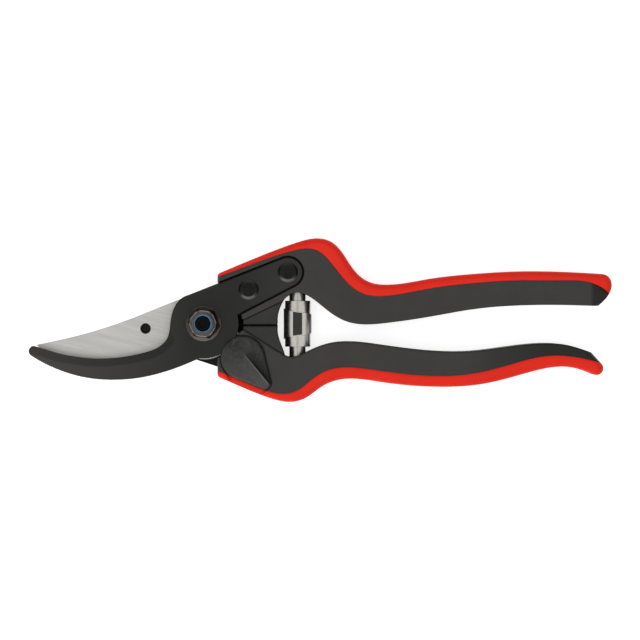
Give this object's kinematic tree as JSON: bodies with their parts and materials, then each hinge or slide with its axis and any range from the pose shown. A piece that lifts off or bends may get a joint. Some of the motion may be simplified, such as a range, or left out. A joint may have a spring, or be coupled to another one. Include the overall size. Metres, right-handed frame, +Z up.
{
  "type": "pruning shears",
  "caption": "One-hand bypass pruning shears with curved hook blade, ground cutting blade, sprung handles, soft grips and a thumb catch.",
  "frame": {"origin": "on the pivot's axis at the surface that the shut shears lie on: the flat end of the pivot bolt's head", "axes": "+X from the pivot to the handles, the blades point to -X, +Y towards the handle that carries the hook blade, +Z up along the pivot"},
  "size_m": [0.2252, 0.0632, 0.0193],
  "materials": {
    "dark_steel": "satin dark coating",
    "ground_steel": "ground lengthwise",
    "grey_composite": "matte",
    "red_soft": "satin soft-touch",
    "black_rubber": "matte",
    "burnished_steel": "burnished",
    "bronze": "plain",
    "blue_nylon": "satin",
    "catch_plastic": "fine matte",
    "bright_spring_steel": "polished"
  },
  "bodies": {
    "hook_side": {"upper_core": "grey_composite", "upper_grip": "red_soft", "hook_blade": "dark_steel", "hook_rivets": "dark_steel", "hook_rivet_washers": "burnished_steel", "upper_bumper": "black_rubber", "pivot_bolt": "burnished_steel", "pivot_washer": "burnished_steel", "pivot_nut": "burnished_steel", "nut_insert": "blue_nylon", "volute_spring": "bright_spring_steel"},
    "blade_side": {"lower_core": "grey_composite", "lower_grip": "red_soft", "cutting_blade": "ground_steel", "pivot_bushing": "bronze", "blade_screws": "burnished_steel", "blade_screw_inserts": "bronze", "lower_bumper": "black_rubber", "catch_washer": "burnished_steel"},
    "catch": {"thumb_catch": "catch_plastic", "catch_screw": "burnished_steel"}
  },
  "joints": [
    {"name": "handles_open", "type": "hinge", "parent": "hook_side", "child": "blade_side", "pos_m": [0, 0, 0.007], "axis": [0, 0, -1], "range_deg": [0, 25], "deforming": ["volute_spring"]},
    {"name": "catch_turn", "type": "hinge", "parent": "blade_side", "child": "catch", "pos_m": [0.0151, -0.0131, 0.014], "axis": [0, 0, -1], "range_deg": [0, 38]}
  ]
}
